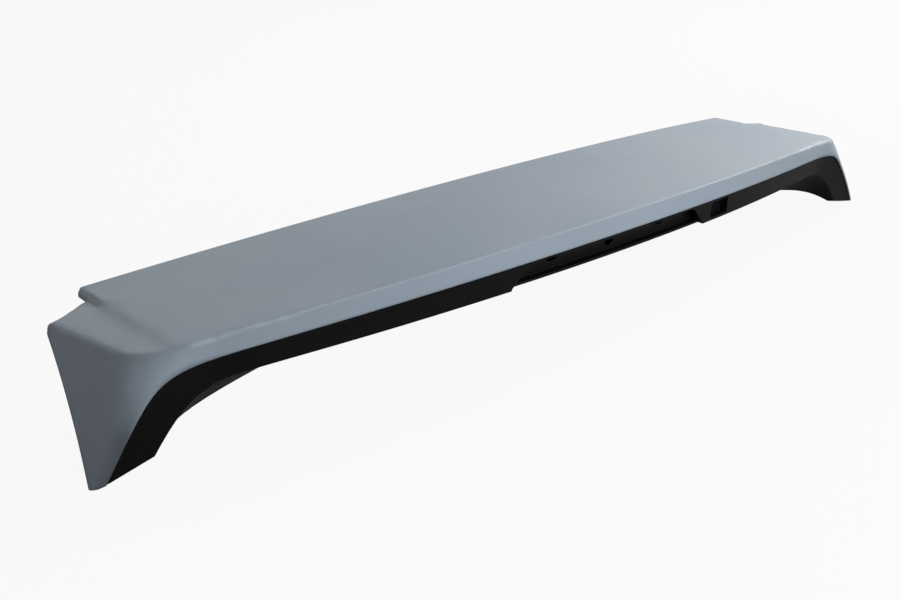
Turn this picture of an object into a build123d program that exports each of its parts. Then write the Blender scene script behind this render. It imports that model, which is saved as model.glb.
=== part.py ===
"""Rear roof spoiler of a tall car: primed upper shell, black lower panel and its mounting studs.

The origin is the middle of the four studs on the plane where their towers seat on the tailgate.
+X is the car's right, +Y its front and +Z up. Everything is in millimetres.
"""

import math
import os

from build123d import *

# Walls and fits
SHELL_WALL = 3.0
PANEL_WALL = 3.0
BOND_GAP = 0.3
BOND_OVERLAP = 12.0

# Leading edge of the main panel, at the middle and at its front corners
LEAD_Y = 48.9
LEAD_Z = 47.5
LEAD_FORWARD = 59.7
LEAD_DROP = 38.4
LEAD_HALF_WIDTH = 569.0
LEAD_CORNER_R = 8.0

# Trailing crease and the upright rear face below it
CREASE_Y = -193.6
CREASE_Z = 57.0
CREASE_FORWARD = 65.7
CREASE_DROP = 26.7
CREASE_HALF_WIDTH = 532.5

# Step between the main panel and the lower end caps
STEP_TOE_IN = 0.08
STEP_ANGLE = 45.0

# End caps: front outer corner, the fall of their flat tops and the round corner behind them
CAP_X = 616.0
CAP_Y = 58.7
CAP_Z = 2.8
CAP_RISE_INWARD = 0.114
CAP_RISE_REARWARD = 0.094
CAP_FRONT_SWEEP = 0.30
CAP_TOE_IN = 0.115
CAP_CORNER_R = 46.5

# Legs: flat rear plane, inner and upper limits, outline at the foot and the slanted end
LEG_REAR_Y = -130.1
LEG_REAR_SOFTNESS = 3.0
LEG_ROOT_X = 440.0
LEG_TOP_SPARE = 4.0
LEG_LEVELS = 6
FOOT_X = 661.5
FOOT_Y = 5.0
FOOT_Z = -112.0
FOOT_TOE_IN = 0.033
FOOT_CORNER_R = 15.0
CORNER_GROWTH = 2
LEG_END_X = 584.6
LEG_END_Z = -78.6
LEG_END_FALL_OUTWARD = 0.233
LEG_END_FALL_FORWARD = 0.45

# Seam between the shell's lip and the black band, seen from behind
SEAM_Z = 32.2
SEAM_DROP = 34.5
SEAM_CORNER_X = 575.0
SEAM_SOFTNESS = 11.4
SEAM_LEG_SLOPE = 1.35

# Lower edge of the black band, seen from behind
EDGE_Z = 0.0
EDGE_DROP = 25.1
EDGE_CORNER_X = 546.7
EDGE_SOFTNESS = 15.6
EDGE_LEG_SLOPE = 1.35

# Underside that faces the tailgate: a flat front strip and a slope behind it
SEAT_Y = -12.3
SEAT_Z = 39.8
SEAT_FORWARD = 62.2
SEAT_DROP = 37.4
SEAT_SLOPE = 0.5

# Where the underside behind the arch meets the tailgate
CONTACT_Y = -91.0
CONTACT_Z = -1.5
CONTACT_DROP = 81.5
CONTACT_CORNER_X = 585.0
CONTACT_SOFTNESS = 25.0
CONTACT_LEG_SLOPE = 1.5

# Stop-lamp recess in the band, open behind and cut back at its lower edge
RECESS_HALF_WIDTH = 169.5
RECESS_TOP_HALF_WIDTH = 145.0
RECESS_CORNER_R = 16.0
RECESS_RIM = 6.0
RECESS_DEPTH = 18.0
RECESS_LEDGE = 8.0
CABLE_HOLE_R = 8.0
CLIP_SLOT_X = 95.0
CLIP_SLOT_WIDTH = 16.0
CLIP_SLOT_HEIGHT = 7.0
LAMP_AXIS_Z = 15.0

# Small pocket beside the recess, with a square hole in its back
POCKET_X = 206.0
POCKET_WIDTH = 40.0
POCKET_TOP_Z = 23.0
POCKET_DEPTH = 12.0
POCKET_HOLE = 14.0
POCKET_HOLE_X = 197.0
POCKET_HOLE_Z = 14.0

# Mounting studs and the towers that hold them
STUD_X = 310.0
STUD_Y = 35.0
STUD_R = 3.0
STUD_LENGTH = 20.0
COLLAR_R = 4.5
COLLAR_CLEARANCE = 0.2
HEAD_SIDES = 6
HEAD_ACROSS_FLATS = 13.0
HEAD_HEIGHT = 4.0
HEAD_ROOM = 1.5
TOWER_R = 11.0
TOWER_FLOOR = 5.0

# Places along an arch where its curve is set: shares of the crown, then steps of softness round the bend
CROWN_SHARES = (0.25, 0.5, 0.7)
BEND_STEPS = (-6, -4, -2.5, -1.2, 0, 1.2, 2.5, 4)
REAR_SHARES = (0.3, 0.5, 0.65, 0.8)
SEARCH_STEPS = 40

# Reach of the trimming solids past the part
TOP_OVERRUN = 0.4
MARGIN = 60.0
TRIM_X = FOOT_X + MARGIN
TRIM_DEPTH = 400.0
HIGH_Z = CREASE_Z + MARGIN
LOW_Z = FOOT_Z - MARGIN
REAR_Y = CREASE_Y - MARGIN


class Bow:
    """A curve across the car: its middle, and its forward gain and height loss per x squared."""

    def __init__(self, y, z, forward, drop):
        self.y = y
        self.z = z
        self.forward = forward
        self.drop = drop

    def point(self, x):
        return Vector(x, self.y + self.forward * x**2, self.z - self.drop * x**2)

    def direction(self, x):
        """Which way the curve runs outward at x, seen from above."""
        return Vector(1, 2 * self.forward * x, 0)

    def arc(self, x_end):
        return ThreePointArc(self.point(-x_end), self.point(0), self.point(x_end))

    def plan_arc(self, x_end, move):
        ends = [Vector(x, self.point(x).Y + move, 0) for x in (-x_end, 0, x_end)]
        return ThreePointArc(*ends)

    def towards(self, other, share):
        """The bow at a share of the way to another one, or past either where share is outside 0 to 1."""
        return Bow(
            self.y + (other.y - self.y) * share,
            self.z + (other.z - self.z) * share,
            self.forward + (other.forward - self.forward) * share,
            self.drop + (other.drop - self.drop) * share,
        )

    def moved(self, y, z):
        return Bow(self.y + y, self.z + z, self.forward, self.drop)


def bow_through(y, z, forward, drop, half_width):
    return Bow(y, z, forward / half_width**2, drop / half_width**2)


class Arch:
    """A line seen from behind: a gentle crown that bends smoothly down into a leg at each end."""

    def __init__(self, z, drop, corner_x, softness, leg_slope):
        self.z = z
        self.drop = drop / CAP_X**2
        self.corner_x = corner_x
        self.softness = softness
        self.leg_slope = leg_slope

    def height(self, x):
        past = (abs(x) - self.corner_x) / self.softness
        return self.z - self.drop * x**2 - self.leg_slope * self.softness * math.log1p(math.exp(past))

    def slope(self, x):
        past = (abs(x) - self.corner_x) / self.softness
        leg = self.leg_slope / (1 + math.exp(-past))
        return -math.copysign(2 * self.drop * abs(x) + leg, x)

    def point(self, x, y, offset):
        """The arch's point over x, moved square to the line by offset."""
        slope = self.slope(x)
        length = math.hypot(1, slope)
        return Vector(x - offset * slope / length, y, self.height(x) + offset / length)

    def stations(self):
        """Half widths that follow the crown with long steps and the bend with short ones."""
        crown = [self.corner_x * share for share in CROWN_SHARES]
        bend = [self.corner_x + self.softness * step for step in BEND_STEPS]
        right = crown + bend + [TRIM_X]
        return [-x for x in reversed(right)] + [0] + right

    def wire(self, y, offset):
        """The outline of all that lies below the arch, in the upright plane at y."""
        top = Spline(*[self.point(x, y, offset) for x in self.stations()])
        left = Vector(top.position_at(0).X, y, LOW_Z - TRIM_DEPTH)
        right = Vector(top.position_at(1).X, y, LOW_Z - TRIM_DEPTH)
        return Wire([top, Line(top.position_at(1), right), Line(right, left), Line(left, top.position_at(0))])


lead = bow_through(LEAD_Y, LEAD_Z, LEAD_FORWARD, LEAD_DROP, LEAD_HALF_WIDTH)
crease = bow_through(CREASE_Y, CREASE_Z, CREASE_FORWARD, CREASE_DROP, CREASE_HALF_WIDTH)
seat = bow_through(SEAT_Y, SEAT_Z, SEAT_FORWARD, SEAT_DROP, LEAD_HALF_WIDTH)
seam = Arch(SEAM_Z, SEAM_DROP, SEAM_CORNER_X, SEAM_SOFTNESS, SEAM_LEG_SLOPE)
edge = Arch(EDGE_Z, EDGE_DROP, EDGE_CORNER_X, EDGE_SOFTNESS, EDGE_LEG_SLOPE)
contact = Arch(CONTACT_Z, CONTACT_DROP, CONTACT_CORNER_X, CONTACT_SOFTNESS, CONTACT_LEG_SLOPE)


def under(first, second):
    """Everything below the ruled surface between two edges."""
    surface = Face.make_surface_from_curves(first, second)
    return Part() + Solid.extrude(surface, Vector(0, 0, -TRIM_DEPTH))


def half_space(point, fall_outward, fall_forward, side):
    """A large block on one side of a slanted plane through a point."""
    plane = Plane(origin=point, z_dir=(fall_outward, fall_forward, 1))
    size = 2 * TRIM_DEPTH
    return plane * Box(size, size, size, align=(Align.CENTER, Align.CENTER, side))


def below_plane(point, fall_outward, fall_forward):
    return half_space(point, fall_outward, fall_forward, Align.MAX)


def above_plane(point, fall_outward, fall_forward):
    return half_space(point, fall_outward, fall_forward, Align.MIN)


def both_sides(right):
    return right + mirror(right, about=Plane.YZ)


def under_top(inset):
    front = lead.towards(crease, -TOP_OVERRUN).arc(TRIM_X)
    rear = lead.towards(crease, 1 + TOP_OVERRUN).arc(TRIM_X)
    return Pos(0, 0, -inset) * under(front, rear)


def cap_height(x, y):
    return CAP_Z + CAP_RISE_INWARD * (CAP_X - x) + CAP_RISE_REARWARD * (CAP_Y - y)


def above_cap(inset):
    """Everything above an end cap's flat top and outside the sloped step that rises from it."""
    slope = math.tan(math.radians(STEP_ANGLE))
    y = lead.point(LEAD_HALF_WIDTH).Y
    foot = Vector(LEAD_HALF_WIDTH, y, cap_height(LEAD_HALF_WIDTH, y) - inset * math.hypot(1, slope))
    fall_forward = CAP_RISE_REARWARD + STEP_TOE_IN * (CAP_RISE_INWARD - slope)
    top = above_plane((CAP_X, CAP_Y, CAP_Z - inset), CAP_RISE_INWARD, CAP_RISE_REARWARD)
    return top & above_plane(foot, slope, fall_forward)


def main_block(inset):
    """The middle of the spoiler between the legs' roots, as an upright prism."""
    front = lead.plan_arc(LEG_ROOT_X, -inset)
    rear = crease.plan_arc(LEG_ROOT_X, inset)
    sides = [Line(front.position_at(end), rear.position_at(end)) for end in (0, 1)]
    return Pos(0, 0, LOW_Z) * extrude(make_face([front, sides[0], rear, sides[1]]), HIGH_Z - LOW_Z)


def rear_wall(x, z, inset):
    """A point of the upright rear wall, which bends from the crease's bow into the leg's flat rear."""
    past = (LEG_REAR_Y - crease.point(x).Y) / LEG_REAR_SOFTNESS
    return Vector(x, LEG_REAR_Y + inset - LEG_REAR_SOFTNESS * math.log1p(math.exp(past)), z)


def rear_direction(x):
    past = (LEG_REAR_Y - crease.point(x).Y) / LEG_REAR_SOFTNESS
    return Vector(1, crease.direction(x).Y / (1 + math.exp(-past)), 0).normalized()


def rear_corner(cap, along, inset, radius):
    """Ends, on the rear wall and on the side, of the arc that rounds a leg's rear corner."""
    square = Vector(-along.Y, along.X, 0)
    inner, outer = LEG_ROOT_X, cap.X
    for _ in range(SEARCH_STEPS):
        x = (inner + outer) / 2
        wall = rear_wall(x, cap.Z, inset)
        run = rear_direction(x)
        centre = wall + Vector(-run.Y, run.X, 0) * radius
        gap = (cap - centre).dot(square) - radius
        inner, outer = (x, outer) if gap > 0 else (inner, x)
    return wall, centre + square * radius


def rounded(before, corner, after, radius):
    """Both ends of an arc that rounds the corner between two directions."""
    first = (before - corner).normalized()
    second = (after - corner).normalized()
    reach = radius / math.tan(math.acos(first.dot(second)) / 2)
    return corner + first * reach, corner + second * reach


def leg_outline(z, inset):
    """Level outline of a leg, its end cap and the panel's front corner, from the root outward."""
    share = (z - FOOT_Z) / (CAP_Z - FOOT_Z)
    toe_in = FOOT_TOE_IN + (CAP_TOE_IN - FOOT_TOE_IN) * share
    radius = FOOT_CORNER_R + (CAP_CORNER_R - FOOT_CORNER_R) * share**CORNER_GROWTH - inset
    cap_x = FOOT_X + (CAP_X - FOOT_X) * share - inset
    cap_y = FOOT_Y + (CAP_Y - FOOT_Y) * share - inset
    root_rear = Vector(LEG_ROOT_X, crease.point(LEG_ROOT_X).Y + inset, z)
    root_front = Vector(LEG_ROOT_X, lead.point(LEG_ROOT_X).Y - inset, z)
    cap = Vector(cap_x, cap_y, z)
    rear_end, side_end = rear_corner(cap, Vector(-toe_in, -1, 0).normalized(), inset, radius)
    rear_span = rear_end.X - LEG_ROOT_X
    rear = [rear_wall(LEG_ROOT_X + rear_span * share, z, inset) for share in REAR_SHARES]
    rear_ends = [crease.direction(LEG_ROOT_X), rear_direction(rear_end.X)]
    panel_x = LEAD_HALF_WIDTH - inset
    panel = Vector(panel_x, lead.point(LEAD_HALF_WIDTH).Y - inset, z)
    sweep = 1 + STEP_TOE_IN * CAP_FRONT_SWEEP
    notch_x = (panel_x - STEP_TOE_IN * (panel.Y - cap_y - CAP_FRONT_SWEEP * cap_x)) / sweep
    notch = Vector(notch_x, cap_y + CAP_FRONT_SWEEP * (cap_x - notch_x), z)
    panel_side, panel_front = rounded(notch, panel, panel - lead.direction(panel_x), LEAD_CORNER_R - inset)
    return Wire([
        Spline(root_rear, *rear, rear_end, tangents=rear_ends),
        TangentArc(rear_end, side_end, tangent=rear_ends[1]),
        Line(side_end, cap),
        Line(cap, notch),
        Line(notch, panel_side),
        TangentArc(panel_side, panel_front, tangent=panel_side - notch),
        Spline(panel_front, root_front, tangents=[-lead.direction(panel_x), -lead.direction(LEG_ROOT_X)]),
        Line(root_front, root_rear),
    ])


def leg(inset):
    top = crease.point(LEG_ROOT_X).Z + LEG_TOP_SPARE
    rise = (top - FOOT_Z) / (LEG_LEVELS - 1)
    outlines = [leg_outline(FOOT_Z + rise * level, inset) for level in range(LEG_LEVELS)]
    return Part() + Solid.make_loft(outlines)


def hull(inset):
    """The spoiler's outer form, with its top, rear and sides moved inward and its underside open."""
    body = main_block(inset) + both_sides(leg(inset))
    return (body & under_top(inset)) - both_sides(above_cap(inset))


def below_arch(arch, offset, rear_y, front_y):
    """Everything below an arch between two upright planes."""
    outline = make_face(arch.wire(rear_y, offset).edges())
    return extrude(outline, amount=front_y - rear_y, dir=(0, 1, 0))


def tailgate_side(offset):
    """Everything below the strip and the slope that face the tailgate, raised by an offset."""
    front = Bow(lead.y + MARGIN, seat.z, lead.forward, seat.drop)
    rear = seat.moved(REAR_Y, REAR_Y * SEAT_SLOPE)
    strip = under(front.arc(TRIM_X), seat.arc(TRIM_X))
    slope = under(seat.arc(TRIM_X), rear.arc(TRIM_X))
    return [Pos(0, 0, offset) * strip, Pos(0, 0, offset) * slope]


def open_side(offset):
    """Everything below the arch, its sweep to the tailgate and the legs' ends, raised by an offset."""
    behind = below_arch(edge, offset, REAR_Y, LEG_REAR_Y)
    sections = [edge.wire(LEG_REAR_Y, offset), contact.wire(CONTACT_Y, offset)]
    sweep = Part() + Solid.make_loft(sections, ruled=True)
    corner = Vector(LEG_END_X, LEG_REAR_Y, LEG_END_Z + offset)
    end = below_plane(corner, LEG_END_FALL_OUTWARD, LEG_END_FALL_FORWARD)
    side = Box(TRIM_X, TRIM_DEPTH, TRIM_DEPTH, align=(Align.MIN, Align.CENTER, Align.CENTER))
    return [behind, sweep, both_sides(end & (Pos(EDGE_CORNER_X, 0, 0) * side))]


def cut(body, tools):
    for tool in tools:
        body = body - tool
    return body


def upper_shell():
    skin = hull(0) - hull(SHELL_WALL)
    skin = cut(skin, tailgate_side(0) + open_side(0))
    return skin - below_arch(seam, 0, REAR_Y, CONTACT_Y)


def rear_zone(depth):
    """Everything less than a depth in from the upright rear face."""
    front = crease.plan_arc(CREASE_HALF_WIDTH, depth)
    left = front.position_at(0)
    right = front.position_at(1)
    outline = make_face([
        front,
        Line(right, Vector(right.X, REAR_Y)),
        Line(Vector(right.X, REAR_Y), Vector(left.X, REAR_Y)),
        Line(Vector(left.X, REAR_Y), left),
    ])
    return Pos(0, 0, LOW_Z) * extrude(outline, HIGH_Z - LOW_Z)


def through(sketch):
    """A sketch drawn as seen from behind, as a prism from behind the part to in front of it."""
    return Plane.XZ * Pos(0, 0, -MARGIN) * extrude(sketch, MARGIN - REAR_Y)


def recess_prism(offset):
    """Outline of the lamp recess seen from behind, widened by an offset."""
    top = SEAM_Z - RECESS_RIM + offset
    outline = Polygon(
        (-RECESS_HALF_WIDTH - offset, LOW_Z),
        (RECESS_HALF_WIDTH + offset, LOW_Z),
        (RECESS_HALF_WIDTH + offset, EDGE_Z),
        (RECESS_TOP_HALF_WIDTH + offset, top),
        (-RECESS_TOP_HALF_WIDTH - offset, top),
        (-RECESS_HALF_WIDTH - offset, EDGE_Z),
        align=None,
    )
    upper = outline.vertices().filter_by(lambda v: v.Y > EDGE_Z + RECESS_RIM)
    return through(fillet(upper, RECESS_CORNER_R + offset))


def pocket_prism(offset):
    height = POCKET_TOP_Z - LOW_Z + offset
    outline = Rectangle(POCKET_WIDTH + 2 * offset, height)
    return through(Pos(POCKET_X, LOW_Z + height / 2) * outline)


def back_holes():
    """Cable hole and clip slots in the back of the recess, and the hole in the back of the pocket."""
    slots = Locations((-CLIP_SLOT_X, LAMP_AXIS_Z), (CLIP_SLOT_X, LAMP_AXIS_Z))
    sketch = Pos(0, LAMP_AXIS_Z) * Circle(CABLE_HOLE_R)
    sketch += slots * SlotOverall(CLIP_SLOT_WIDTH, CLIP_SLOT_HEIGHT)
    sketch += Pos(POCKET_HOLE_X, POCKET_HOLE_Z) * Rectangle(POCKET_HOLE, POCKET_HOLE)
    return through(sketch)


def stud_places():
    return GridLocations(2 * STUD_X, 2 * STUD_Y, 2, 2)


def stud_tower():
    return Cylinder(TOWER_R, SEAT_Z, align=(Align.CENTER, Align.CENTER, Align.MIN))


def stud_bore():
    hole = Cylinder(COLLAR_R + COLLAR_CLEARANCE, TRIM_DEPTH)
    head_r = HEAD_ACROSS_FLATS / math.sqrt(3) + HEAD_ROOM
    head = Pos(0, 0, TOWER_FLOOR) * Cylinder(head_r, SEAT_Z, align=(Align.CENTER, Align.CENTER, Align.MIN))
    return hole + head


def lower_panel():
    face = SHELL_WALL + BOND_GAP
    fill = hull(face)
    band = fill - hull(face + PANEL_WALL)
    panel = band & below_arch(seam, BOND_OVERLAP, REAR_Y, LEG_REAR_Y + face + PANEL_WALL)
    for tool in tailgate_side(PANEL_WALL) + open_side(PANEL_WALL):
        panel = panel + (fill & tool)
    walls = recess_prism(PANEL_WALL) & rear_zone(face + RECESS_DEPTH + PANEL_WALL)
    walls = walls + (pocket_prism(PANEL_WALL) & rear_zone(face + POCKET_DEPTH + PANEL_WALL))
    panel = panel + (walls & fill)
    hollow = recess_prism(0) & rear_zone(face + RECESS_DEPTH)
    hollow = hollow + (pocket_prism(0) & rear_zone(face + POCKET_DEPTH))
    panel = panel - cut(hollow, open_side(PANEL_WALL))
    panel = panel - (recess_prism(0) & rear_zone(face + RECESS_LEDGE))
    panel = panel - (back_holes() & rear_zone(face + RECESS_DEPTH + 2 * PANEL_WALL))
    panel = cut(panel, tailgate_side(0) + open_side(0))
    towers = Part() + stud_places() * stud_tower()
    for tool in tailgate_side(PANEL_WALL):
        panel = panel + (towers & tool)
    return panel - (stud_places() * stud_bore())


def mounting_studs():
    shank = Cylinder(STUD_R, STUD_LENGTH, align=(Align.CENTER, Align.CENTER, Align.MAX))
    collar = Cylinder(COLLAR_R, TOWER_FLOOR, align=(Align.CENTER, Align.CENTER, Align.MIN))
    head = extrude(RegularPolygon(HEAD_ACROSS_FLATS / 2, HEAD_SIDES, major_radius=False), HEAD_HEIGHT)
    stud = shank + collar + Pos(0, 0, TOWER_FLOOR) * head
    return Part() + [place * stud for place in stud_places()]


if __name__ == "__main__":
    os.makedirs("parts", exist_ok=True)
    nodes = {"upper_shell": upper_shell(), "lower_panel": lower_panel(), "mounting_studs": mounting_studs()}
    for name, node in nodes.items():
        print(name, node.is_valid, round(node.volume), len(node.solids()), node.bounding_box())
        export_step(node, f"parts/{name}.step")
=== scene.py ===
"""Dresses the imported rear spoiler: primed shell, black lower panel, threaded studs, studio and camera."""

import logging
import math
from dataclasses import dataclass
from enum import Enum
from typing import ClassVar

import bmesh
import bpy
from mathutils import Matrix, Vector
from mathutils.bvhtree import BVHTree
from mathutils.interpolate import poly_3d_calc


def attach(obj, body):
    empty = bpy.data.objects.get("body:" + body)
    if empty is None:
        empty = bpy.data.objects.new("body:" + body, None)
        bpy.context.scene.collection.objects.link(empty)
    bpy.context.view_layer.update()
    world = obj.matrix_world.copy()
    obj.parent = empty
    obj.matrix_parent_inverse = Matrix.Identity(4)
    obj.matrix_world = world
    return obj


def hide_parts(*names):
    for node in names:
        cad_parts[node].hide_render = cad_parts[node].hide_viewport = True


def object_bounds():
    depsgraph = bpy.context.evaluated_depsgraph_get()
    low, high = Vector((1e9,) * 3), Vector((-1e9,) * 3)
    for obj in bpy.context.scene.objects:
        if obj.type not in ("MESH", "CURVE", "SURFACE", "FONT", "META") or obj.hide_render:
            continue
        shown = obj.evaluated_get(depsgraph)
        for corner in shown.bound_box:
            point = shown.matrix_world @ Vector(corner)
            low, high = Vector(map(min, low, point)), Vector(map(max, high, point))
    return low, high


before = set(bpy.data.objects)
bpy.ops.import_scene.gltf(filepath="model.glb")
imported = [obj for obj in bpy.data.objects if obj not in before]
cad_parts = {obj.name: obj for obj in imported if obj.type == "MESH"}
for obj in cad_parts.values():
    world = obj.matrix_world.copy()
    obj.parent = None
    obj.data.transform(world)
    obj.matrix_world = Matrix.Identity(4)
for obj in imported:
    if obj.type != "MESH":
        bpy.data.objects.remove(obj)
cad_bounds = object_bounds()

log = logging.getLogger("spoiler")

Colour = tuple[float, float, float, float]
Point = tuple[float, float, float]
Span = tuple[float, float]

MM = 0.001
WELD = 0.001 * MM
BEVEL_SAMPLES = 6
UNIT: Span = (0.0, 1.0)
WHITE: Colour = (1.0, 1.0, 1.0, 1.0)


class Node(Enum):
    """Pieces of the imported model."""

    SHELL = "upper_shell"
    PANEL = "lower_panel"
    STUDS = "mounting_studs"


class Slot(Enum):
    """Material slots of the record."""

    PRIMER = "primer"
    BLACK = "black_plastic"
    ZINC = "zinc_steel"


class Socket(Enum):
    """Types of the sockets of a node group."""

    VALUE = "NodeSocketFloat"
    VECTOR = "NodeSocketVector"


def fade(value: float, none: float, full: float) -> float:
    """How far a value has gone from none to full, kept between 0 and 1."""
    return min(1.0, max(0.0, (value - none) / (full - none)))


class Graph:
    """A small helper that adds nodes to one node tree and links them."""

    def __init__(self, tree: bpy.types.NodeTree) -> None:
        """Starts from a tree.

        Args:
            tree: The node tree that the graph writes to.
        """
        self.tree = tree

    def add(self, kind: str, **settings: object) -> bpy.types.Node:
        """Adds a node.

        Args:
            kind: The node's bl_idname.
            **settings: Attributes to set on the node.

        Returns:
            The new node.
        """
        node = self.tree.nodes.new(kind)
        for name, value in settings.items():
            setattr(node, name, value)
        return node

    def feed(self, node: bpy.types.Node, **inputs: object) -> bpy.types.Node:
        """Sets or links a node's inputs by name, with underscores for spaces.

        Args:
            node: The node to feed.
            **inputs: Plain values, or output sockets to link from.

        Returns:
            The same node.
        """
        for name, value in inputs.items():
            self.join(value, node.inputs[name.replace("_", " ")])
        return node

    def join(self, value: object, socket: bpy.types.NodeSocket) -> None:
        """Links an output to a socket, or sets the socket to a plain value.

        Args:
            value: A plain value or an output socket.
            socket: The input socket to fill.
        """
        if isinstance(value, bpy.types.NodeSocket):
            self.tree.links.new(value, socket)
        else:
            socket.default_value = value

    def math(
        self, operation: str, first: object, second: object = 0.0, clamp: bool = False
    ) -> bpy.types.NodeSocket:
        """Adds a Math node.

        Args:
            operation: The node's operation.
            first: Its first value or link.
            second: Its second value or link.
            clamp: Whether the result is kept between 0 and 1.

        Returns:
            The node's output socket.
        """
        node = self.add("ShaderNodeMath", operation=operation, use_clamp=clamp)
        self.join(first, node.inputs[0])
        self.join(second, node.inputs[1])
        return node.outputs[0]

    def vector_math(self, operation: str, first: object, second: object) -> bpy.types.Node:
        """Adds a Vector Math node.

        Args:
            operation: The node's operation.
            first: Its first vector or link.
            second: Its second vector or link.

        Returns:
            The new node.
        """
        node = self.add("ShaderNodeVectorMath", operation=operation)
        self.join(first, node.inputs[0])
        self.join(second, node.inputs[1])
        return node

    def ramp(self, value: object, limits: Span, results: Span = UNIT) -> bpy.types.NodeSocket:
        """Adds a clamped Map Range node.

        Args:
            value: The value or link to map.
            limits: Values where the first and the second result are reached.
            results: The result at each limit.

        Returns:
            The node's output socket.
        """
        node = self.add("ShaderNodeMapRange", clamp=True)
        self.feed(node, Value=value, From_Min=limits[0], From_Max=limits[1])
        self.feed(node, To_Min=results[0], To_Max=results[1])
        return node.outputs["Result"]

    def blend(self, share: object, first: object, second: object) -> bpy.types.NodeSocket:
        """Adds a colour Mix node.

        Args:
            share: How much of the second colour shows.
            first: The first colour or link.
            second: The second colour or link.

        Returns:
            The mixed colour.
        """
        node = self.add("ShaderNodeMix", data_type="RGBA")
        self.join(share, node.inputs["Factor"])
        self.join(first, node.inputs["A"])
        self.join(second, node.inputs["B"])
        return node.outputs["Result"]

    def noise(
        self, vector: object, scale: object, detail: float, roughness: float = 0.5
    ) -> bpy.types.NodeSocket:
        """Adds a Noise Texture.

        Args:
            vector: The place it is read at.
            scale: Features per metre, about.
            detail: Octaves.
            roughness: Share of the fine octaves.

        Returns:
            The noise value's socket.
        """
        node = self.add("ShaderNodeTexNoise")
        self.feed(node, Vector=vector, Scale=scale, Detail=detail, Roughness=roughness)
        return node.outputs[0]


class GroupBuilder:
    """Builds one shader node group with named inputs and outputs."""

    def __init__(self, name: str) -> None:
        """Starts a group that takes only the place on the surface.

        Args:
            name: The group's name.
        """
        self.tree = bpy.data.node_groups.new(name, "ShaderNodeTree")
        self.graph = Graph(self.tree)
        self.source = self.graph.add("NodeGroupInput")
        self.sink = self.graph.add("NodeGroupOutput")
        self.takes(Socket.VECTOR, "Vector")

    def takes(self, kind: Socket, *names: str) -> None:
        """Adds input sockets of one type.

        Args:
            kind: The sockets' type.
            *names: The sockets' names.
        """
        for name in names:
            self.tree.interface.new_socket(name, in_out="INPUT", socket_type=kind.value)

    def given(self, name: str) -> bpy.types.NodeSocket:
        """What comes in through an input socket."""
        return self.source.outputs[name]

    def gives(self, name: str, value: bpy.types.NodeSocket) -> None:
        """Adds an output value and links it.

        Args:
            name: The socket's name.
            value: What it puts out.
        """
        self.tree.interface.new_socket(name, in_out="OUTPUT", socket_type=Socket.VALUE.value)
        self.graph.join(value, self.sink.inputs[name])


class Effect:
    """A node group that more than one finish uses, built once."""

    name: ClassVar[str]
    _built: ClassVar[dict[str, bpy.types.NodeTree]] = {}

    def tree(self) -> bpy.types.NodeTree:
        """The group, which is built when it is first asked for.

        Returns:
            The group's node tree.
        """
        if self.name not in self._built:
            group = GroupBuilder(self.name)
            self.fill(group)
            self._built[self.name] = group.tree
        return self._built[self.name]

    def fill(self, group: GroupBuilder) -> None:
        """Fills in the group's sockets and nodes.

        Args:
            group: The group to fill in.
        """
        raise NotImplementedError


@dataclass(frozen=True)
class SettledDust(Effect):
    """Settled dust: soft patches with specks, thickest on faces that look up."""

    name: ClassVar[str] = "settled_dust"
    patch_detail: float = 5.0
    patch_roughness: float = 0.6
    patch_limits: Span = (0.4, 0.7)
    patch_share: float = 0.6
    speck_detail: float = 2.0
    speck_limits: Span = (0.66, 0.74)
    speck_share: float = 0.5
    upward: Span = (-0.2, 0.8)
    upward_share: Span = (0.15, 1.0)

    def fill(self, group: GroupBuilder) -> None:
        """Puts out the mask Dust.

        Args:
            group: The group to fill in.
        """
        group.takes(Socket.VALUE, "Patch Scale", "Speck Scale", "Amount")
        graph = group.graph
        place = group.given("Vector")
        patches = graph.noise(place, group.given("Patch Scale"), self.patch_detail, self.patch_roughness)
        specks = graph.noise(place, group.given("Speck Scale"), self.speck_detail)
        normal = graph.add("ShaderNodeNewGeometry").outputs["Normal"]
        split = graph.feed(graph.add("ShaderNodeSeparateXYZ"), Vector=normal)
        facing = graph.ramp(split.outputs["Z"], self.upward, self.upward_share)
        soft = graph.math("MULTIPLY", graph.ramp(patches, self.patch_limits), self.patch_share)
        spots = graph.math("MULTIPLY", graph.ramp(specks, self.speck_limits), self.speck_share)
        settled = graph.math("MULTIPLY", graph.math("ADD", soft, spots, clamp=True), facing)
        group.gives("Dust", graph.math("MULTIPLY", settled, group.given("Amount")))


@dataclass(frozen=True)
class MouldedSkin(Effect):
    """The surface of sprayed, moulded or plated pieces: orange peel with a fine grain on it."""

    name: ClassVar[str] = "moulded_skin"
    peel_detail: float = 1.5
    grain_detail: float = 2.0
    cloud_scale: float = 2.2
    cloud_detail: float = 3.0

    def fill(self, group: GroupBuilder) -> None:
        """Puts out the relief Height and the slow value Cloud.

        Args:
            group: The group to fill in.
        """
        group.takes(Socket.VALUE, "Peel Scale", "Grain Scale", "Grain Share")
        graph = group.graph
        place = group.given("Vector")
        peel = graph.noise(place, group.given("Peel Scale"), self.peel_detail)
        grain = graph.noise(place, group.given("Grain Scale"), self.grain_detail)
        fine = graph.math("MULTIPLY", grain, group.given("Grain Share"))
        group.gives("Height", graph.math("ADD", peel, fine))
        group.gives("Cloud", graph.noise(place, self.cloud_scale, self.cloud_detail))


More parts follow.
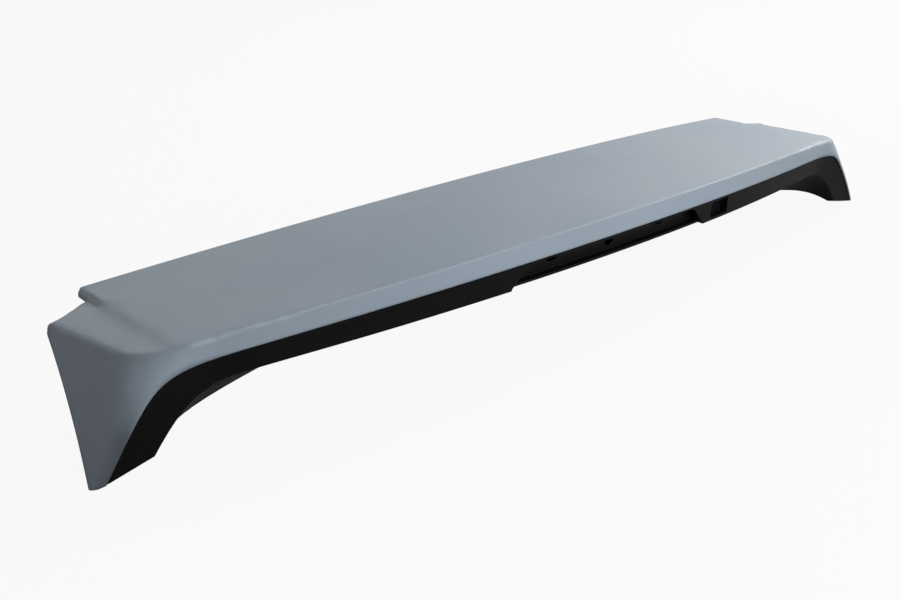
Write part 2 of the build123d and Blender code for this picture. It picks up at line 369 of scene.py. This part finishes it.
@dataclass(frozen=True)
class StraightStreaks(Effect):
    """Faint straight marks left by sanding, wiping or brushing, stretched along one axis."""

    name: ClassVar[str] = "straight_streaks"
    detail: float = 4.0
    roughness: float = 0.65
    limits: Span = (0.35, 0.7)

    def fill(self, group: GroupBuilder) -> None:
        """Puts out the mask Streaks.

        Args:
            group: The group to fill in.
        """
        group.takes(Socket.VECTOR, "Stretch")
        group.takes(Socket.VALUE, "Scale")
        graph = group.graph
        place = graph.vector_math("MULTIPLY", group.given("Vector"), group.given("Stretch")).outputs[0]
        lines = graph.noise(place, group.given("Scale"), self.detail, self.roughness)
        group.gives("Streaks", graph.ramp(lines, self.limits))


@dataclass(frozen=True)
class EdgeHighlight(Effect):
    """Painted highlight along edges, a lighter colour in place of the light that rounded edges catch:
    strongest on the corner itself and broken up along it.
    """

    name: ClassVar[str] = "painted_edge_highlight"
    corner_limits: Span = (0.97, 0.82)
    break_scale: float = 45.0
    break_detail: float = 3.0
    break_limits: Span = (0.3, 0.6)
    break_share: Span = (0.45, 1.0)

    def fill(self, group: GroupBuilder) -> None:
        """Puts out the mask of the painted edge highlight, from how far a rolled normal leans away from the
        plain one.

        Args:
            group: The group to fill in.
        """
        group.takes(Socket.VALUE, "Radius", "Amount")
        graph = group.graph
        rolled = graph.add("ShaderNodeBevel", samples=BEVEL_SAMPLES)
        graph.feed(rolled, Radius=group.given("Radius"))
        plain = graph.add("ShaderNodeNewGeometry").outputs["Normal"]
        alike = graph.vector_math("DOT_PRODUCT", rolled.outputs["Normal"], plain)
        corner = graph.ramp(alike.outputs["Value"], self.corner_limits)
        patches = graph.noise(group.given("Vector"), self.break_scale, self.break_detail)
        # Painted highlight: the corner mask, broken up by noise, marks where edges get a lighter colour in
        # place of caught light.
        broken_highlight = graph.math("MULTIPLY", corner, graph.ramp(patches, self.break_limits, self.break_share))
        group.gives("Highlight", graph.math("MULTIPLY", broken_highlight, group.given("Amount")))


@dataclass(frozen=True)
class SurfaceLook:
    """Values that every finish has."""

    roughness: Span
    relief_depth: float
    edge_radius: float
    peel_scale: float
    grain_scale: float
    grain_share: float
    streak_scale: float
    streak_stretch: Point


class Finish:
    """A Principled material that its subclasses fill in."""

    name: ClassVar[str]
    look: ClassVar[SurfaceLook]

    def __init__(self) -> None:
        """Makes the material with its shader, and dresses it."""
        self.material = bpy.data.materials.new(self.name)
        self.material.use_nodes = True
        tree = self.material.node_tree
        tree.nodes.clear()
        self.graph = Graph(tree)
        self.shader = self.graph.add("ShaderNodeBsdfPrincipled")
        output = self.graph.add("ShaderNodeOutputMaterial")
        self.graph.join(self.shader.outputs["BSDF"], output.inputs["Surface"])
        self.place = self.graph.add("ShaderNodeTexCoord").outputs["Object"]
        self.skin = self.effect(
            MouldedSkin(),
            Peel_Scale=self.look.peel_scale,
            Grain_Scale=self.look.grain_scale,
            Grain_Share=self.look.grain_share,
        )
        self.dress_relief()
        self.dress_colour()

    def effect(self, effect: Effect, **inputs: object) -> bpy.types.Node:
        """Places a node group at the surface's own place.

        Args:
            effect: What the group shows.
            **inputs: Its inputs by name.

        Returns:
            The group node.
        """
        node = self.graph.add("ShaderNodeGroup")
        node.node_tree = effect.tree()
        return self.graph.feed(node, Vector=self.place, **inputs)

    def dress_relief(self) -> None:
        """Fills in the roughness, and the bump over a normal that is softened along edges."""
        look = self.look
        graph = self.graph
        streaks = self.effect(StraightStreaks(), Stretch=look.streak_stretch, Scale=look.streak_scale)
        soft = graph.feed(graph.add("ShaderNodeBevel", samples=BEVEL_SAMPLES), Radius=self.edge_radius())
        bump = graph.add("ShaderNodeBump")
        graph.feed(bump, Strength=1.0, Distance=look.relief_depth, Height=self.skin.outputs["Height"])
        graph.feed(bump, Normal=soft.outputs["Normal"])
        roughness = graph.ramp(streaks.outputs["Streaks"], UNIT, look.roughness)
        graph.feed(self.shader, Roughness=roughness, Normal=bump.outputs["Normal"])

    def edge_radius(self) -> float | bpy.types.NodeSocket:
        """How softly the surface rolls over edges, in metres, as a value or a link."""
        return self.look.edge_radius

    def dress_colour(self) -> None:
        """Fills in the colour and the kind of gloss."""
        raise NotImplementedError


@dataclass(frozen=True)
class PlasticLook(SurfaceLook):
    """Values of a painted or bare plastic."""

    base: Colour
    pale: Colour
    # Colour, share and radius of the painted highlight that lightens the edges in place of the light they
    # catch.
    highlit: Colour
    highlight_amount: float
    highlight_radius: float
    dust: Colour
    dust_amount: float
    patch_scale: float
    speck_scale: float
    specular: float
    cloud_limits: Span = (0.3, 0.7)


class Plastic(Finish):
    """Plastic with cloudy colour, a painted highlight along its edges and settled dust."""

    look: ClassVar[PlasticLook]

    def dress_colour(self) -> None:
        """Fills in the colour from the bare surface through the painted edge highlight up to the dust."""
        look = self.look
        graph = self.graph
        # Painted highlight: edges are blended towards a lighter colour, standing in for light caught on
        # rounded edges.
        edge_highlight = self.effect(EdgeHighlight(), Radius=look.highlight_radius, Amount=look.highlight_amount)
        dust = self.effect(SettledDust(), Patch_Scale=look.patch_scale, Speck_Scale=look.speck_scale)
        graph.feed(dust, Amount=look.dust_amount)
        cloud = graph.ramp(self.skin.outputs["Cloud"], look.cloud_limits)
        clean = graph.blend(cloud, look.base, look.pale)
        highlit = graph.blend(edge_highlight.outputs["Highlight"], clean, look.highlit)
        colour = graph.blend(dust.outputs["Dust"], highlit, look.dust)
        graph.feed(self.shader, Base_Color=colour, Specular_IOR_Level=look.specular)


@dataclass(frozen=True)
class PrimerLook(PlasticLook):
    """Values of the sprayed grey primer."""

    roughness: Span = (0.43, 0.47)
    relief_depth: float = 0.05 * MM
    edge_radius: float = 4.0 * MM
    peel_scale: float = 150.0
    grain_scale: float = 1500.0
    grain_share: float = 0.5
    streak_scale: float = 60.0
    streak_stretch: Point = (0.10, 1.0, 1.0)
    base: Colour = (0.195, 0.240, 0.288, 1.0)
    pale: Colour = (0.216, 0.260, 0.307, 1.0)
    # Painted highlight along the edges: a light grey in place of the light that the primer's rounded edges
    # catch.
    highlit: Colour = (0.52, 0.55, 0.58, 1.0)
    highlight_amount: float = 0.7
    highlight_radius: float = 1.4 * MM
    dust: Colour = (0.40, 0.41, 0.41, 1.0)
    dust_amount: float = 0.18
    patch_scale: float = 5.0
    speck_scale: float = 700.0
    specular: float = 0.45
    cap_radius: float = 10.0 * MM
    cap_x: Span = (490.0 * MM, 545.0 * MM)
    cap_z: Span = (-20.0 * MM, 2.0 * MM)


class Primer(Plastic):
    """Satin grey primer, sprayed and lightly sanded along the spoiler."""

    name: ClassVar[str] = "primer_grey"
    look: ClassVar[PrimerLook] = PrimerLook()

    def edge_radius(self) -> bpy.types.NodeSocket:
        """How softly the skin rolls over edges: tight along the blade and the legs, wide over the end caps.

        Returns:
            The radius in metres, as a link.
        """
        look = self.look
        graph = self.graph
        split = graph.feed(graph.add("ShaderNodeSeparateXYZ"), Vector=self.place)
        outward = graph.ramp(graph.math("ABSOLUTE", split.outputs["X"]), look.cap_x)
        upward = graph.ramp(split.outputs["Z"], look.cap_z)
        cap = graph.math("MULTIPLY", outward, upward)
        return graph.ramp(cap, UNIT, (look.edge_radius, look.cap_radius))


@dataclass(frozen=True)
class BlackLook(PlasticLook):
    """Values of the black moulded plastic."""

    roughness: Span = (0.34, 0.46)
    relief_depth: float = 0.04 * MM
    edge_radius: float = 1.2 * MM
    peel_scale: float = 90.0
    grain_scale: float = 2200.0
    grain_share: float = 0.35
    streak_scale: float = 90.0
    streak_stretch: Point = (0.08, 1.0, 1.0)
    base: Colour = (0.0024, 0.0024, 0.0027, 1.0)
    pale: Colour = (0.0046, 0.0046, 0.0050, 1.0)
    # Painted highlight along the edges: a dark grey in place of the light that the black panel's edges
    # catch.
    highlit: Colour = (0.035, 0.035, 0.036, 1.0)
    highlight_amount: float = 0.6
    highlight_radius: float = 1.0 * MM
    dust: Colour = (0.06, 0.06, 0.06, 1.0)
    dust_amount: float = 0.06
    patch_scale: float = 9.0
    speck_scale: float = 1100.0
    specular: float = 0.06


class BlackPlastic(Plastic):
    """Smooth black moulded plastic with a faint wiped film."""

    name: ClassVar[str] = "black_moulded_plastic"
    look: ClassVar[BlackLook] = BlackLook()


@dataclass(frozen=True)
class ZincLook(SurfaceLook):
    """Values of the zinc plating."""

    roughness: Span = (0.28, 0.5)
    relief_depth: float = 0.03 * MM
    edge_radius: float = 0.3 * MM
    peel_scale: float = 500.0
    grain_scale: float = 4000.0
    grain_share: float = 0.6
    streak_scale: float = 1500.0
    streak_stretch: Point = (1.0, 1.0, 0.1)
    bright: Colour = (0.66, 0.67, 0.66, 1.0)
    dull: Colour = (0.48, 0.49, 0.48, 1.0)
    bloom_limits: Span = (0.45, 0.95)


class ZincSteel(Finish):
    """Zinc-plated steel with a dull bloom."""

    name: ClassVar[str] = "zinc_plated_steel"
    look: ClassVar[ZincLook] = ZincLook()

    def dress_colour(self) -> None:
        """Fills in the plating's colour, dull where the grain stands out."""
        look = self.look
        bloom = self.graph.ramp(self.skin.outputs["Height"], look.bloom_limits)
        colour = self.graph.blend(bloom, look.bright, look.dull)
        self.graph.feed(self.shader, Base_Color=colour, Metallic=1.0)


def carry(name: str, data: bpy.types.Mesh, node: Node, finish: Finish) -> bpy.types.Object:
    """Makes a piece that stands for a packed one.

    Args:
        name: The piece's name.
        data: Its mesh.
        node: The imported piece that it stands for.
        finish: What it is made of.

    Returns:
        The piece's object.
    """
    data.materials.clear()
    data.materials.append(finish.material)
    piece = bpy.data.objects.new(name, data)
    bpy.context.scene.collection.objects.link(piece)
    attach(piece, "root")
    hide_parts(node.value)
    log.info("%s dressed in %s, %d faces", name, finish.name, len(data.polygons))
    return piece


@dataclass(frozen=True)
class LegTip:
    """The rounded lower corner of a leg, seen from the side."""

    y: float = -115.0 * MM
    z: float = -101.1 * MM
    front_edge: tuple[float, float] = (0.87, 0.49)
    rear_edge: tuple[float, float] = (-0.83, 0.55)
    radius: float = 16.0 * MM
    inner_x: float = 600.0 * MM

    def half_angle(self) -> float:
        """Half the angle between the leg's front and rear edges."""
        return Vector(self.front_edge).angle(Vector(self.rear_edge)) / 2.0

    def centre(self) -> Vector:
        """Finds the centre of the arc that touches both edges.

        Returns:
            The centre, as a point of the side view.
        """
        way = Vector(self.front_edge).normalized() + Vector(self.rear_edge).normalized()
        return Vector((self.y, self.z)) + way.normalized() * (self.radius / math.sin(self.half_angle()))

    def rounded(self, point: Vector) -> Vector:
        """Brings a point of the sharp corner onto the arc.

        Args:
            point: A point of the leg.

        Returns:
            The point on the arc, or the point itself where it isn't in the corner.
        """
        centre = self.centre()
        way = Vector((point.y, point.z)) - centre
        down = Vector((self.y, self.z)) - centre
        inside = way.length <= self.radius or abs(point.x) < self.inner_x
        if inside or way.angle(down) > math.pi / 2.0 - self.half_angle():
            return point.copy()
        spot = centre + way.normalized() * self.radius
        return Vector((point.x, spot.x, spot.y))


@dataclass(frozen=True)
class LegSide:
    """The flat outer side of a leg, which looks flat nearly to the seam, more so lower down."""

    normal: Point = (0.89, -0.06, 0.45)
    likeness: Span = (0.30, 0.60)
    heights: Span = (-5.0 * MM, -50.0 * MM)
    share: float = 0.9

    def flattened(self, point: Vector, normal: Vector) -> Vector:
        """Turns a normal of the leg's rear corner towards the flat side.

        Args:
            point: A point of the shell.
            normal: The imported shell's normal there.

        Returns:
            The normal that the skin gets.
        """
        outward, ahead, upward = self.normal
        flat = Vector((math.copysign(outward, point.x), ahead, upward))
        share = self.share * fade(point.z, *self.heights)
        return normal.lerp(flat, share * fade(normal.dot(flat), *self.likeness))


@dataclass(frozen=True)
class EndCap:
    """The sloping top of each end, placed by its outer front corner, and the roll of its front edge."""

    x: float = 616.0 * MM
    y: float = 58.7 * MM
    z: float = 2.8 * MM
    rise_inward: float = 0.114
    rise_rearward: float = 0.094
    front_sweep: float = 0.30
    front_radius: float = 8.0 * MM
    front_radius_fade: Span = (578.0 * MM, 600.0 * MM)

    def above(self, point: Vector) -> float:
        """Height of a point over the cap's plane.

        Args:
            point: A point of the shell.

        Returns:
            The height in metres, negative below the plane.
        """
        inward = self.rise_inward * (self.x - abs(point.x))
        rearward = self.rise_rearward * (self.y - point.y)
        return point.z - self.z - inward - rearward

    def rolled(self, point: Vector) -> Vector:
        """Rolls a point of the cap's front edge over.

        Args:
            point: A point of the shell.

        Returns:
            The point on the roll, or the point itself where it isn't on that edge.
        """
        radius = self.front_radius * fade(abs(point.x), *self.front_radius_fade)
        ahead = point.y - self.y - self.front_sweep * (self.x - abs(point.x))
        way = Vector((ahead + radius, self.above(point) + radius))
        if radius == 0.0 or min(way) < 0.0 or way.length <= radius:
            return point.copy()
        shift = way.normalized() * radius - way
        return point + Vector((0.0, shift.x, shift.y - self.rise_rearward * shift.x))


class PackedNormals:
    """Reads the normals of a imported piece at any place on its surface."""

    def __init__(self, source: bpy.types.Mesh) -> None:
        """Sorts the piece's triangles for the search.

        Args:
            source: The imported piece's mesh.
        """
        source.calc_loop_triangles()
        self.source = source
        self.triangles = source.loop_triangles
        self.points = [vert.co for vert in source.vertices]
        self.tree = BVHTree.FromPolygons(self.points, [list(each.vertices) for each in self.triangles])

    def near(self, place: Vector) -> Vector:
        """Reads the normal at the nearest spot of the surface.

        Args:
            place: A point on the surface or close to it.

        Returns:
            The normal, of length 1.
        """
        spot, _normal, index, _distance = self.tree.find_nearest(place)
        triangle = self.triangles[index]
        weights = poly_3d_calc([self.points[corner] for corner in triangle.vertices], spot)
        normals = [self.source.corner_normals[loop].vector for loop in triangle.loops]
        parts = [normal * weight for normal, weight in zip(normals, weights)]
        return sum(parts, Vector()).normalized()


@dataclass
class PrimedShell:
    """The outer skin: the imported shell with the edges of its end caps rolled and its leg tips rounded."""

    finish: Finish
    tip: LegTip
    side: LegSide = LegSide()
    cap: EndCap = EndCap()
    zone_x: Span = (400.0 * MM, 656.0 * MM)
    zone_y: Span = (-160.0 * MM, 70.0 * MM)
    grid: float = 5.0 * MM
    below_cap: tuple[float, ...] = (2.0 * MM, 5.0 * MM, 8.0 * MM, 12.0 * MM, 17.0 * MM)
    tip_grid: float = 2.0 * MM
    tip_reach: float = 14.0 * MM
    inner_fade: Span = (405.0 * MM, 505.0 * MM)
    front_fade: Span = (50.0 * MM, 30.0 * MM)
    lower_fade: Span = (-11.0 * MM, -5.0 * MM)
    settle_rounds: int = 14
    settle_share: float = 0.5
    sharp_angle: float = math.radians(32.0)
    normal_nudge: float = 0.02

    @staticmethod
    def cut(mesh: bmesh.types.BMesh, faces: list[bmesh.types.BMFace], place: Point, normal: Point) -> None:
        """Cuts faces along a plane, so that they can bend there.

        Args:
            mesh: The mesh to cut.
            faces: The faces to cut.
            place: A point of the plane.
            normal: The plane's normal.
        """
        # Keys keep their order, so every run makes its cuts in the same one.
        edges = dict.fromkeys(edge for face in faces for edge in face.edges)
        points = dict.fromkeys(vert for face in faces for vert in face.verts)
        geometry = [*points, *edges, *faces]
        bmesh.ops.bisect_plane(mesh, geom=geometry, dist=WELD, plane_co=place, plane_no=normal)

    @staticmethod
    def steps(low: float, high: float, size: float) -> list[float]:
        """Even places from low to high, a step apart."""
        return [low + size * step for step in range(int((high - low) / size) + 1)]

    def end_faces(self, mesh: bmesh.types.BMesh, side: int) -> list[bmesh.types.BMFace]:
        """Faces of one end of the shell."""
        return [face for face in mesh.faces if side * face.calc_center_median().x > self.zone_x[0]]

    def refine_cap(self, mesh: bmesh.types.BMesh, side: int) -> None:
        """Cuts one end into a fine grid, with extra rows below the edge of its cap.

        Args:
            mesh: The mesh to cut.
            side: -1 for the left end and 1 for the right.
        """
        cap = self.cap
        for x in self.steps(*self.zone_x, self.grid):
            self.cut(mesh, list(mesh.faces), (side * x, 0.0, 0.0), (1.0, 0.0, 0.0))
        for y in self.steps(*self.zone_y, self.grid):
            self.cut(mesh, self.end_faces(mesh, side), (0.0, y, 0.0), (0.0, 1.0, 0.0))
        normal = (side * cap.rise_inward, cap.rise_rearward, 1.0)
        for depth in self.below_cap:
            self.cut(mesh, self.end_faces(mesh, side), (side * cap.x, cap.y, cap.z - depth), normal)

    def refine_tip(self, mesh: bmesh.types.BMesh, side: int) -> None:
        """Cuts the corner of one leg tip into narrow strips.

        Args:
            mesh: The mesh to cut.
            side: -1 for the left end and 1 for the right.
        """
        reach = self.tip_reach
        for y in self.steps(self.tip.y - reach, self.tip.y + reach, self.tip_grid):
            faces = [face for face in self.end_faces(mesh, side) if self.near_tip(face)]
            self.cut(mesh, faces, (0.0, y, 0.0), (0.0, 1.0, 0.0))

    def near_tip(self, face: bmesh.types.BMFace) -> bool:
        """Whether a face has a corner close to the leg's lower end."""
        return any(vert.co.z < self.tip.z + self.tip_reach for vert in face.verts)

    def looseness(self, point: Vector) -> float:
        """How freely a point moves when the edges are rolled: fully on the caps, not at all at the rims.

        Args:
            point: A point of the shell.

        Returns:
            The share, from 0 to 1.
        """
        inward = fade(abs(point.x), *self.inner_fade)
        front = fade(point.y, *self.front_fade)
        return inward * front * fade(self.cap.above(point), *self.lower_fade)

    def relax(self, mesh: bmesh.types.BMesh) -> set[int]:
        """Rolls the caps' edges over by letting each free point settle among its neighbours.

        Args:
            mesh: The mesh to bend.

        Returns:
            Which points were free to move.
        """
        mesh.verts.index_update()
        free = [(vert, self.settle_share * self.looseness(vert.co)) for vert in mesh.verts]
        free = [(vert, share) for vert, share in free if share > 0.0]
        for _ in range(self.settle_rounds):
            moved = []
            for vert, share in free:
                near = [edge.other_vert(vert).co for edge in vert.link_edges]
                middle = sum(near, Vector()) / len(near)
                moved.append(vert.co.lerp(middle, share))
            for (vert, _share), place in zip(free, moved):
                vert.co = place
        return {vert.index for vert, _share in free}

    def round_ends(self, mesh: bmesh.types.BMesh) -> set[int]:
        """Rolls the caps' front edges over and rounds the leg tips.

        Args:
            mesh: The mesh to bend.

        Returns:
            Which points of the front edges were moved.
        """
        rolled = set()
        for vert in mesh.verts:
            place = self.cap.rolled(vert.co)
            if place != vert.co:
                rolled.add(vert.index)
            vert.co = self.tip.rounded(place)
        return rolled

    def keep_normals(self, data: bpy.types.Mesh, source: bpy.types.Mesh, bent: set[int]) -> None:
        """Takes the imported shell's normals over, flattened on the legs, wherever the skin wasn't bent.

        Args:
            data: The softened skin.
            source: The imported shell.
            bent: Points of the skin that get new normals.
        """
        packed = PackedNormals(source)
        normals = []
        for face in data.polygons:
            for index in face.vertices:
                if index in bent:
                    # A normal of no length leaves the corner as Blender shades it.
                    normals.append(Vector())
                    continue
                # Just inside the face, the nearest spot lies on this side of a sharp edge.
                place = data.vertices[index].co.lerp(face.center, self.normal_nudge)
                normals.append(self.side.flattened(place, packed.near(place)))
        data.normals_split_custom_set(normals)

    def build(self) -> bpy.types.Object:
        """Builds the softened skin.

        Returns:
            The skin's object.
        """
        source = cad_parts[Node.SHELL.value].data
        mesh = bmesh.new()
        mesh.from_mesh(source)
        bmesh.ops.remove_doubles(mesh, verts=mesh.verts, dist=WELD)
        for side in (-1, 1):
            self.refine_cap(mesh, side)
            self.refine_tip(mesh, side)
        bent = self.relax(mesh) | self.round_ends(mesh)
        data = bpy.data.meshes.new("primed_shell")
        mesh.to_mesh(data)
        mesh.free()
        data.shade_smooth()
        data.set_sharp_from_angle(angle=self.sharp_angle)
        self.keep_normals(data, source, bent)
        return carry("primed_shell", data, Node.SHELL, self.finish)


@dataclass
class LowerMoulding:
    """The black lower panel, with its leg tips rounded as the skin's are."""

    finish: Finish
    tip: LegTip

    def build(self) -> bpy.types.Object:
        """Builds the lower moulding.

        Returns:
            The moulding's object.
        """
        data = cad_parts[Node.PANEL.value].data.copy()
        data.name = "lower_moulding"
        for vert in data.vertices:
            vert.co = self.tip.rounded(vert.co)
        return carry("lower_moulding", data, Node.PANEL, self.finish)


@dataclass
class ThreadedStuds:
    """Four zinc-plated studs, threaded below their collars and headed inside the towers."""

    finish: Finish
    half_x: float = 310.0 * MM
    half_y: float = 35.0 * MM
    shank_r: float = 3.0 * MM
    shank_length: float = 20.0 * MM
    pitch: float = 1.0 * MM
    thread_depth: float = 0.55 * MM
    plain_length: float = 1.5 * MM
    tip_taper: float = 1.0 * MM
    collar_r: float = 4.5 * MM
    collar_height: float = 5.0 * MM
    head_sides: int = 6
    head_across_flats: float = 13.0 * MM
    head_height: float = 4.0 * MM
    head_chamfer: float = 0.6 * MM
    head_chamfer_reach: float = 1.2 * MM
    points_round: int = 32
    levels_per_pitch: int = 6

    def radius(self, depth: float, angle: float) -> float:
        """Radius of the shank at a depth below the seat, following the thread.

        Args:
            depth: Distance below the seat plane.
            angle: Angle round the shank.

        Returns:
            The radius in metres.
        """
        phase = (depth / self.pitch - angle / math.tau) % 1.0
        groove = self.thread_depth * (1.0 - abs(2.0 * phase - 1.0))
        run_in = fade(depth, self.plain_length, self.plain_length + self.pitch)
        taper = max(0.0, self.tip_taper - (self.shank_length - depth))
        return self.shank_r - groove * run_in - taper

    @staticmethod
    def ring(mesh: bmesh.types.BMesh, radii: list[float], z: float) -> list[bmesh.types.BMVert]:
        """Adds a ring of points, evenly spaced round the stud's axis.

        Args:
            mesh: The mesh to add to.
            radii: Each point's distance from the axis.
            z: The ring's height.

        Returns:
            The ring's points.
        """
        points = []
        for turn, radius in enumerate(radii):
            angle = math.tau * turn / len(radii)
            points.append(mesh.verts.new((radius * math.cos(angle), radius * math.sin(angle), z)))
        return points

    @staticmethod
    def close(mesh: bmesh.types.BMesh, rings: list[list[bmesh.types.BMVert]], smooth: bool) -> None:
        """Joins rings to a closed form.

        Args:
            mesh: The mesh to add to.
            rings: Rings of as many points each, from the lowest up.
            smooth: Whether the form is shaded as round.
        """
        for lower, upper in zip(rings, rings[1:]):
            for turn in range(len(lower)):
                after = (turn + 1) % len(lower)
                face = mesh.faces.new((lower[turn], lower[after], upper[after], upper[turn]))
                face.smooth = smooth
        mesh.faces.new(list(reversed(rings[0])))
        mesh.faces.new(rings[-1])

    def add_shank(self, mesh: bmesh.types.BMesh) -> None:
        """Adds the threaded shank with its collar.

        Args:
            mesh: The mesh to add to.
        """
        angles = [math.tau * turn / self.points_round for turn in range(self.points_round)]
        count = round(self.shank_length / self.pitch) * self.levels_per_pitch
        rings = []
        for step in range(count + 1):
            depth = self.shank_length * (count - step) / count
            rings.append(self.ring(mesh, [self.radius(depth, angle) for angle in angles], -depth))
        for height in (0.0, self.collar_height):
            rings.append(self.ring(mesh, [self.collar_r] * self.points_round, height))
        self.close(mesh, rings, smooth=True)

    def add_head(self, mesh: bmesh.types.BMesh) -> None:
        """Adds the six-sided head on the collar, with its upper corners taken off.

        Args:
            mesh: The mesh to add to.
        """
        corner_r = self.head_across_flats / (2.0 * math.cos(math.pi / self.head_sides))
        top = self.collar_height + self.head_height
        levels = (
            (corner_r, self.collar_height),
            (corner_r, top - self.head_chamfer),
            (corner_r - self.head_chamfer_reach, top),
        )
        rings = [self.ring(mesh, [radius] * self.head_sides, height) for radius, height in levels]
        self.close(mesh, rings, smooth=False)

    def build(self) -> bpy.types.Object:
        """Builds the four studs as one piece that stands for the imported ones.

        Returns:
            The studs' object.
        """
        stud = bpy.data.meshes.new("stud")
        single = bmesh.new()
        self.add_shank(single)
        self.add_head(single)
        single.to_mesh(stud)
        single.free()
        whole = bmesh.new()
        for x in (-self.half_x, self.half_x):
            for y in (-self.half_y, self.half_y):
                first = len(whole.verts)
                whole.from_mesh(stud)
                whole.verts.ensure_lookup_table()
                bmesh.ops.translate(whole, verts=whole.verts[first:], vec=(x, y, 0.0))
        bpy.data.meshes.remove(stud)
        data = bpy.data.meshes.new("threaded_studs")
        whole.to_mesh(data)
        whole.free()
        return carry("threaded_studs", data, Node.STUDS, self.finish)


@dataclass
class Studio:
    """Pale floor, soft lamps, white surroundings and the camera."""

    floor_z: float
    floor_half: float = 12.0
    floor_colour: Colour = (0.38, 0.38, 0.38, 1.0)
    floor_white: float = 0.925
    floor_gloss: float = 0.05
    surroundings: Colour = (0.96, 0.96, 0.96, 1.0)
    ambient: float = 0.24
    ambient_colour: Colour = (0.97, 0.98, 1.0, 1.0)
    key_place: Point = (2.6, 0.2, 2.0)
    key_size: float = 1.8
    key_watts: float = 105.0
    rear_place: Point = (0.0, -1.5, 0.40)
    rear_size: float = 0.9
    rear_watts: float = 20.5
    target: Point = (0.0, -0.05, 0.0)
    camera_place: Point = (-0.8660, -0.9527, 0.4927)
    camera_yaw: float = 0.6674
    camera_pitch: float = 0.4543
    lens: float = 40.0
    sensor: float = 36.0
    clip_start: float = 0.01

    @staticmethod
    def seen(graph: Graph, direct: float, mirrored: float) -> bpy.types.NodeSocket:
        """How much of its plain white a surface shows to a ray, in place of its own light.

        Args:
            graph: The node tree to add to.
            direct: The share for the camera's own rays.
            mirrored: The share for rays that come by a reflection or through glass.

        Returns:
            The share, which is 0 for the rays that light the object.
        """
        path = graph.add("ShaderNodeLightPath")
        shiny = graph.math("MAXIMUM", path.outputs["Is Glossy Ray"], path.outputs["Is Transmission Ray"])
        straight = graph.math("MULTIPLY", path.outputs["Is Camera Ray"], direct)
        return graph.math("ADD", straight, graph.math("MULTIPLY", shiny, mirrored))

    @staticmethod
    def put_out(
        graph: Graph, output: str, share: bpy.types.NodeSocket, own: bpy.types.Node, white: bpy.types.Node
    ) -> None:
        """Mixes a surface's own light with its plain white, and puts the mix out.

        Args:
            graph: The node tree to add to.
            output: The output node's bl_idname.
            share: How much of the white shows.
            own: The shader of the surface's own light.
            white: The shader of the plain white.
        """
        mix = graph.add("ShaderNodeMixShader")
        graph.join(share, mix.inputs[0])
        graph.join(own.outputs[0], mix.inputs[1])
        graph.join(white.outputs[0], mix.inputs[2])
        graph.join(mix.outputs[0], graph.add(output).inputs["Surface"])

    def floor_material(self) -> bpy.types.Material:
        """Makes the floor's material, which looks white and keeps a faint shadow.

        Returns:
            The material.
        """
        material = bpy.data.materials.new("pale_floor")
        material.use_nodes = True
        material.node_tree.nodes.clear()
        graph = Graph(material.node_tree)
        matte = graph.feed(graph.add("ShaderNodeBsdfDiffuse"), Color=self.floor_colour)
        white = graph.feed(graph.add("ShaderNodeEmission"), Color=WHITE, Strength=1.0)
        share = self.seen(graph, self.floor_white, self.floor_gloss)
        self.put_out(graph, "ShaderNodeOutputMaterial", share, matte, white)
        return material

    def add_floor(self) -> None:
        """Adds the floor that the legs stand on."""
        half = self.floor_half
        corners = [(-half, -half, 0.0), (half, -half, 0.0), (half, half, 0.0), (-half, half, 0.0)]
        data = bpy.data.meshes.new("floor")
        data.from_pydata(corners, [], [(0, 1, 2, 3)])
        data.materials.append(self.floor_material())
        floor = bpy.data.objects.new("floor", data)
        floor.location.z = self.floor_z
        bpy.context.scene.collection.objects.link(floor)

    def add_world(self) -> None:
        """Adds white surroundings that light the object only gently."""
        world = bpy.data.worlds.new("studio")
        bpy.context.scene.world = world
        world.use_nodes = True
        world.node_tree.nodes.clear()
        graph = Graph(world.node_tree)
        dim = graph.add("ShaderNodeBackground")
        graph.feed(dim, Color=self.ambient_colour, Strength=self.ambient)
        white = graph.feed(graph.add("ShaderNodeBackground"), Color=self.surroundings, Strength=1.0)
        self.put_out(graph, "ShaderNodeOutputWorld", self.seen(graph, 1.0, 1.0), dim, white)

    def add_lamp(self, name: str, place: Point, size: float, watts: float) -> None:
        """Adds a square soft lamp that looks at the object.

        Args:
            name: The lamp's name.
            place: Where it hangs.
            size: Its side in metres.
            watts: Its power.
        """
        data = bpy.data.lights.new(name, "AREA")
        data.size = size
        data.energy = watts
        lamp = bpy.data.objects.new(name, data)
        lamp.location = place
        way = Vector(self.target) - Vector(place)
        lamp.rotation_euler = way.to_track_quat("-Z", "Y").to_euler()
        bpy.context.scene.collection.objects.link(lamp)

    def add_camera(self) -> None:
        """Adds the camera at the photograph's place and angle."""
        data = bpy.data.cameras.new("camera")
        data.sensor_fit = "HORIZONTAL"
        data.sensor_width = self.sensor
        data.lens = self.lens
        data.clip_start = self.clip_start
        camera = bpy.data.objects.new("camera", data)
        camera.location = self.camera_place
        camera.rotation_euler = (math.pi / 2.0 - self.camera_pitch, 0.0, -self.camera_yaw)
        bpy.context.scene.collection.objects.link(camera)
        bpy.context.scene.camera = camera

    def build(self) -> None:
        """Sets up the whole studio."""
        self.add_floor()
        self.add_world()
        self.add_lamp("key", self.key_place, self.key_size, self.key_watts)
        self.add_lamp("rear", self.rear_place, self.rear_size, self.rear_watts)
        self.add_camera()
        bpy.context.scene.view_settings.view_transform = "Standard"
        log.info("studio set up on a floor at %.4f m", self.floor_z)


def main() -> None:
    """Builds the spoiler's pieces and the studio, and logs each piece's face count and the floor's height.
    """
    logging.basicConfig(level=logging.INFO, format="%(name)s: %(message)s")
    tip = LegTip()
    PrimedShell(Primer(), tip).build()
    LowerMoulding(BlackPlastic(), tip).build()
    ThreadedStuds(ZincSteel()).build()
    Studio(floor_z=cad_bounds[0][2]).build()


if __name__ == "__main__":
    main()
